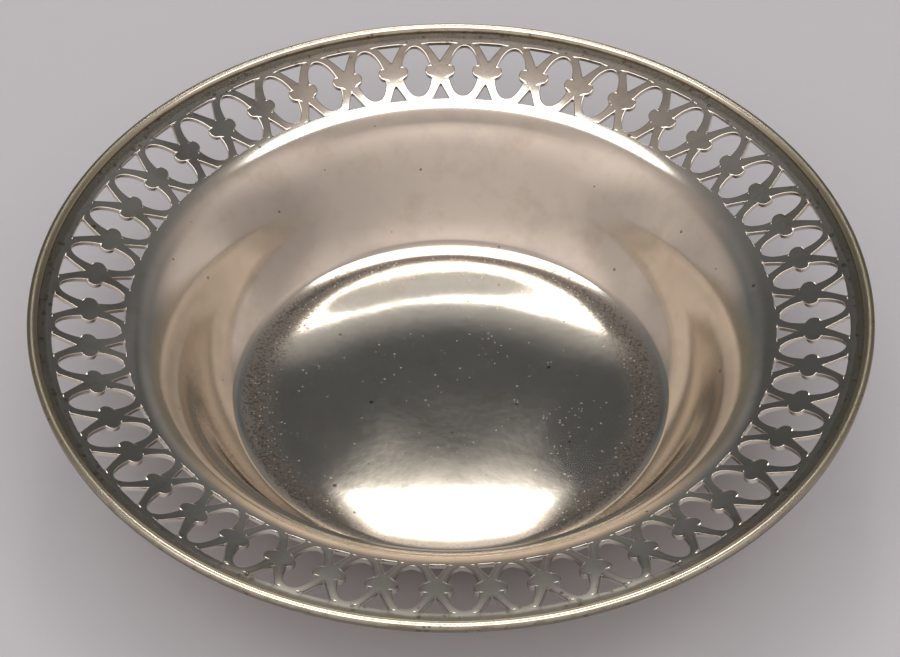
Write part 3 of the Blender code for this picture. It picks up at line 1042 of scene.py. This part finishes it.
# The ring's crust: noise levels at which it starts and is full, and its share in the middle and at the sides
CRUST_LEVELS = (0.5, 0.62)
CRUST_MIDDLE = 0.25
CRUST_SIDES = (12.0 * MM, 28.0 * MM)
GROOVE = {"Radius": 74.4 * MM, "Half Width": 1.4 * MM, "Softness": 0.8 * MM, "Waver": 0.9 * MM}
NEAR_RIM = (68.0 * MM, 74.0 * MM)
# Distances to the front over which the painted shade on the openings' edges comes in
FRONT = (45.0 * MM, 60.0 * MM)


def use_group(tree, name, place, **values):
    """Places a node group at Object coordinates, with these inputs, and gives its outputs."""
    inputs = {"Place": place, **values}
    return add_node(tree, "ShaderNodeGroup", inputs, node_tree=groups[name]).outputs


def start_silver(name):
    """A metal material: its tree, its shader's inputs, its Object coordinates and its points' wear."""
    material = bpy.data.materials.new(name)
    material.use_nodes = True
    tree = material.node_tree
    shader = tree.nodes["Principled BSDF"].inputs
    shader["Metallic"].default_value = 1.0
    place = add_node(tree, "ShaderNodeTexCoord").outputs["Object"]
    wear = add_node(tree, "ShaderNodeAttribute", attribute_name="wear").outputs["Fac"]
    return material, tree, shader, place, wear


def bowl_zones(tree, place, wear):
    """Masks of the bowl's zones, by distance from the axis, to the side and to the front."""
    axes = add_node(tree, "ShaderNodeSeparateXYZ", {0: place}).outputs
    aside = smooth_step(tree, calculate(tree, "ABSOLUTE", axes["X"]), *CRUST_SIDES)
    front = smooth_step(tree, product(tree, axes["Y"], -1.0), *FRONT)
    radius = from_axis(tree, place)
    flange = smooth_step(tree, radius, FLANGE_FOOT, FLANGE_FOOT + ZONE_EDGE)
    well = falling(tree, radius, WELL_RADIUS, WELL_RADIUS + ZONE_EDGE)
    ring = use_group(tree, "ring_zone", place, **RING)["Mask"]
    ring = product(tree, ring, falling(tree, radius, *RING_END))
    grain = smooth_step(tree, noise(tree, place, scale=1900.0, detail=3.0), *CRUST_LEVELS)
    grain = product(tree, grain, blend_add(tree, aside, 1.0 - CRUST_MIDDLE, CRUST_MIDDLE))
    return {
        "flange": flange,
        "well": well,
        "wall": calculate(tree, "SUBTRACT", calculate(tree, "SUBTRACT", 1.0, well), flange),
        "ring": ring,
        "crust": product(tree, ring, grain),
        # Tarnish and painted shade in the corner beside the wire
        "groove": use_group(tree, "ring_zone", place, **GROOVE)["Mask"],
        "rim": product(tree, flange, smooth_step(tree, radius, *NEAR_RIM)),
        # Painted shade on the openings' edges at the front
        "painted front edge shade": product(tree, wear, front),
    }


print("brown ring at", round(RING["Radius"] / MM, 1), "mm, groove at", round(GROOVE["Radius"] / MM, 1), "mm")

# %% Bowl material
SILVER = (0.74, 0.688, 0.60, 1.0)
WELL_TARNISH = (0.50, 0.42, 0.34, 1.0)
# Colour of the band beside the wire: its tarnish and the painted shade of that corner
GROOVE_TARNISH_AND_SHADE = (0.16, 0.145, 0.11, 1.0)
# Colour of the painted shade that dulls the openings' edges at the front
FRONT_EDGE_SHADE = (0.34, 0.32, 0.29, 1.0)
SPOT = (0.10, 0.075, 0.055, 1.0)
DUST = (0.40, 0.375, 0.33, 1.0)
POLISH = 0.05
FILM_SHARE = 0.24
FLANGE_FILM_SHARE = 0.25
MOTTLE_LEVELS = (0.48, 0.74)
DRIFT_LEVELS = (0.5, 0.8)
HAMMER_DEPTH = 0.03 * MM
SCRATCHES = {"Scale": 330.0, "Share": 0.42}


def bump(tree, height, depth):
    """Normal of a Bump node whose height of one is this deep, in metres."""
    inputs = {"Height": height, "Distance": depth, "Strength": 1.0}
    return add_node(tree, "ShaderNodeBump", inputs).outputs[0]


def added_up(tree, start, parts):
    """Output of a start value plus each mask times its share."""
    for mask, share in parts:
        start = blend_add(tree, mask, share, start)
    return start


def bowl_spots(tree, place, zones):
    """Mask of the dark spots: a few all over, and many small ones near the rim."""
    few = use_group(tree, "specks", place, Scale=330.0, Size=0.14, Share=0.3)["Mask"]
    many = use_group(tree, "specks", place, Scale=900.0, Size=0.5, Share=0.42)["Mask"]
    return calculate(tree, "MAXIMUM", few, product(tree, many, zones["rim"]))


def well_dust(tree, place, zones):
    """Mask of the dust: pale specks in the well, in drifts and along the brown ring, of uneven strength."""
    drift = smooth_step(tree, noise(tree, place, scale=70.0), *DRIFT_LEVELS)
    share = added_up(tree, 0.04, [(drift, 0.3), (zones["ring"], 0.4)])
    specks = use_group(tree, "specks", place, Scale=1700.0, Size=0.45, Share=share)["Mask"]
    uneven = blend_add(tree, noise(tree, place, scale=900.0), 1.6, -0.4)
    return product(tree, product(tree, specks, zones["well"]), uneven)


def bowl_material():
    """Silver of the bowl: tarnish, spots, dust and painted shade mixed over its tint, roughness added up,
    and broad waves as a bump.
    """
    material, tree, shader, place, wear = start_silver("bowl_silver_look")
    zones = bowl_zones(tree, place, wear)
    film = use_group(tree, "tarnish_film", place, Scale=90.0, Cover=0.55)
    film_share = blend_add(tree, zones["flange"], FLANGE_FILM_SHARE, FILM_SHARE)
    mottle = smooth_step(tree, noise(tree, place, scale=260.0, detail=4.0), *MOTTLE_LEVELS)
    dust = well_dust(tree, place, zones)
    # Each layer's mask, strength and colour, from the widest to the smallest; two layers hold painted shade
    stains_and_shade = [
        (film["Mask"], film_share, film["Stain"]),
        (zones["ring"], 0.75, WELL_TARNISH),
        (zones["crust"], 0.6, SPOT),
        # Tarnish and painted shade in the corner beside the wire
        (zones["groove"], 0.85, GROOVE_TARNISH_AND_SHADE),
        # Painted shade that dulls the openings' edges at the front
        (zones["painted front edge shade"], 0.8, FRONT_EDGE_SHADE),
        (mottle, 0.16, film["Stain"]),
        (bowl_spots(tree, place, zones), 0.6, SPOT),
        (dust, 1.0, DUST),
    ]
    color = SILVER
    for mask, share, layer_color in stains_and_shade:
        color = mix_color(tree, product(tree, mask, share), color, layer_color)
    connect(tree, color, shader["Base Color"])
    metal = added_up(tree, 1.0, [(dust, -0.6), (zones["ring"], -0.1), (zones["groove"], -0.12)])
    connect(tree, metal, shader["Metallic"])
    scratches = use_group(tree, "fine_scratches", place, **SCRATCHES)["Mask"]
    # What each mask adds to the roughness
    roughening = [
        (zones["wall"], 0.07),
        (zones["flange"], 0.015),
        (zones["crust"], 0.06),
        (zones["groove"], 0.05),
        (scratches, 0.025),
        (film["Mask"], 0.02),
        (dust, 0.12),
        (wear, -0.02),
    ]
    connect(tree, added_up(tree, POLISH, roughening), shader["Roughness"])
    waves = blend_add(tree, noise(tree, place, scale=420.0), 0.1, noise(tree, place, scale=55.0, detail=1.0))
    connect(tree, bump(tree, waves, HAMMER_DEPTH), shader["Normal"])
    return material


pierced_bowl.data.materials.append(bowl_material())
print("bowl material has", len(pierced_bowl.data.materials[0].node_tree.nodes), "nodes")

# %% [markdown]
# ## The silver of the wire and the foot
#
# Fingers and cloths keep the crown of the wire bright, while its sides stay yellow brown. The foot is
# rubbed dull on the table. The pieces could share the bowl's material, but its zones are the bowl's own.
# Instead one function makes both, from the same groups and from the wear that was stored on their points
# when the sections were made: it is high on the crown and at the foot's lower edge.

# %% Wire and foot materials
WIRE_SILVER = (0.74, 0.675, 0.55, 1.0)
# Tarnish colour, also laid on as painted shade at the wire's left and right
WIRE_TARNISH_AND_SHADE = (0.30, 0.265, 0.185, 1.0)
# Distances aside over which that painted shade comes in
LEFT_AND_RIGHT = (42.0 * MM, 68.0 * MM)
THIN_TARNISH = 0.6
RUBBED_DEPTH = 0.008 * MM


def rubbed_silver(name, clean, dull, worn_dull, sides):
    """Silver whose tarnish is rubbed off where the piece is worn, with painted shade at its left and right,
    as strong as sides.
    """
    material, tree, shader, place, wear = start_silver(name)
    film = use_group(tree, "tarnish_film", place, Scale=260.0, Cover=0.7)["Mask"]
    unworn = calculate(tree, "SUBTRACT", 1.0, wear)
    across = calculate(tree, "ABSOLUTE", add_node(tree, "ShaderNodeSeparateXYZ", {0: place}).outputs["X"])
    # Painted shade: the tarnish colour laid over the piece's left and right, as strong as sides, and rougher
    # there
    kept = product(tree, smooth_step(tree, across, *LEFT_AND_RIGHT), sides)
    share = product(tree, unworn, blend_add(tree, film, 1.0 - THIN_TARNISH, THIN_TARNISH))
    share = calculate(tree, "MAXIMUM", share, kept)
    spots = use_group(tree, "specks", place, Scale=1100.0, Size=0.35, Share=0.25)["Mask"]
    color = mix_color(tree, share, clean, WIRE_TARNISH_AND_SHADE)
    color = mix_color(tree, product(tree, spots, unworn), color, SPOT)
    connect(tree, color, shader["Base Color"])
    scratches = use_group(tree, "fine_scratches", place, **SCRATCHES)["Mask"]
    rough = added_up(tree, dull, [(share, 0.06), (kept, 0.1), (scratches, 0.05), (wear, worn_dull)])
    connect(tree, rough, shader["Roughness"])
    connect(tree, bump(tree, noise(tree, place, scale=160.0, detail=1.0), RUBBED_DEPTH), shader["Normal"])
    return material


# The wire gets painted shade at its left and right; the foot gets none
wire_look = rubbed_silver("wire_silver_look", WIRE_SILVER, dull=0.17, worn_dull=0.0, sides=0.85)
foot_look = rubbed_silver("foot_silver_look", SILVER, dull=0.16, worn_dull=0.2, sides=0.0)
rim_wire_piece.data.materials.append(wire_look)
foot_piece.data.materials.append(foot_look)
print("wire and foot materials have", len(wire_look.node_tree.nodes), "nodes each")

# %% [markdown]
# ## The floor
#
# The bowl stands on a plain, pale grey sheet. A curved backdrop is usual behind an object, but it would
# hide the room that the silver shows, and a camera that looks down sees no horizon. So a big flat square
# is enough. A little gloss lets it take up some of the room's light, and the bowl's own shadow does the
# rest.

# %% Floor
FLOOR_COLOR = (0.497, 0.495, 0.52, 1.0)
FLOOR_ROUGHNESS = 0.5
FLOOR_REACH = 4.0


def make_floor():
    """A flat square at the height that the bowl stands on."""
    mesh = bpy.data.meshes.new("floor")
    corners = np.array([[-1, -1, 0], [1, -1, 0], [1, 1, 0], [-1, 1, 0]]) * FLOOR_REACH
    mesh.from_pydata(corners.tolist(), [], [(0, 1, 2, 3)])
    paper = bpy.data.materials.new("floor_paper")
    paper.use_nodes = True
    shader = paper.node_tree.nodes["Principled BSDF"].inputs
    shader["Base Color"].default_value = FLOOR_COLOR
    shader["Roughness"].default_value = FLOOR_ROUGHNESS
    mesh.materials.append(paper)
    floor = bpy.data.objects.new("floor", mesh)
    bpy.context.scene.collection.objects.link(floor)
    return floor


floor = make_floor()
print("floor", 2 * FLOOR_REACH, "m wide")
